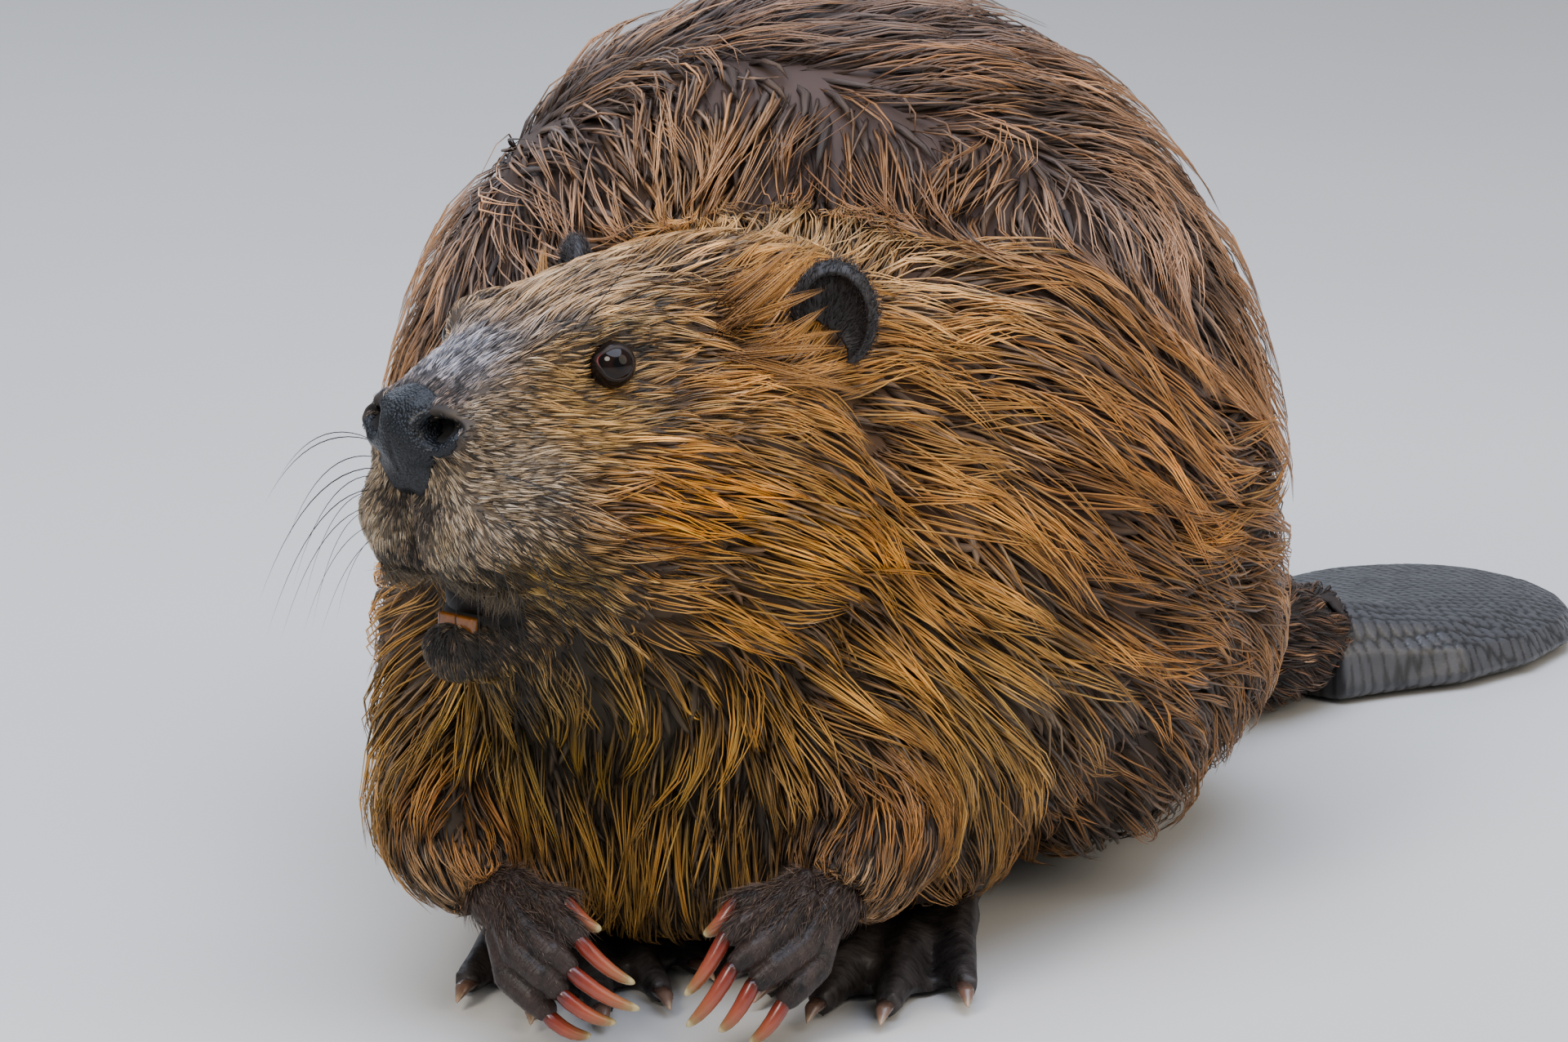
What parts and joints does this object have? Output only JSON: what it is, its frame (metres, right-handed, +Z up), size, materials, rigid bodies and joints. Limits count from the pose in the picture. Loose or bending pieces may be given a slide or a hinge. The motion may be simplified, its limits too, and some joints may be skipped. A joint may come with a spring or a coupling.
{
  "type": "beaver",
  "caption": "Life-size beaver sitting hunched on its hind feet, head turned to its right, both hands held in front of the chest and the flat tail resting behind it.",
  "frame": {"origin": "on the floor, under the middle of the whole animal's bounding box", "axes": "+Z up, -Y the way the chest faces, +Y towards the tail, +X the animal's own left"},
  "size_m": [0.4278, 0.6132, 0.2798],
  "materials": {
    "fur": "wet brown fur, long guard hairs",
    "nose_pad": "moist black skin",
    "ear_skin": "short dark hair on skin",
    "eyeball": "wet, dark brown",
    "paw_skin": "bare wrinkled skin",
    "claw_horn": "semi-gloss horn",
    "tooth_enamel": "orange enamel",
    "tail_scale": "dark scaly skin"
  },
  "bodies": {
    "root": {"trunk": "fur", "head": "fur", "jaw": "fur", "nose": "nose_pad", "neck": "fur", "forearm_right": "fur", "forearm_left": "fur", "upper_arm_right": "fur", "upper_arm_left": "fur", "tail_root": "fur", "thigh_left": "fur", "thigh_right": "fur", "chest": "fur", "rump": "fur", "eye_left": "eyeball", "eye_right": "eyeball", "ear_left": "ear_skin", "ear_right": "ear_skin", "hind_foot_left": "paw_skin", "hind_foot_right": "paw_skin", "hand_left": "paw_skin", "hand_right": "paw_skin", "incisors_lower": "tooth_enamel", "tail": "tail_scale", "claw_hand_left_1": "claw_horn", "claw_hand_left_2": "claw_horn", "claw_hand_left_3": "claw_horn", "claw_hand_left_4": "claw_horn", "claw_hand_left_5": "claw_horn", "claw_hand_right_1": "claw_horn", "claw_hand_right_2": "claw_horn", "claw_hand_right_3": "claw_horn", "claw_hand_right_4": "claw_horn", "claw_hand_right_5": "claw_horn", "claw_foot_left_1": "claw_horn", "claw_foot_left_2": "claw_horn", "claw_foot_left_3": "claw_horn", "claw_foot_left_4": "claw_horn", "claw_foot_left_5": "claw_horn", "claw_foot_right_1": "claw_horn", "claw_foot_right_2": "claw_horn", "claw_foot_right_3": "claw_horn", "claw_foot_right_4": "claw_horn", "claw_foot_right_5": "claw_horn"}
  },
  "joints": []
}
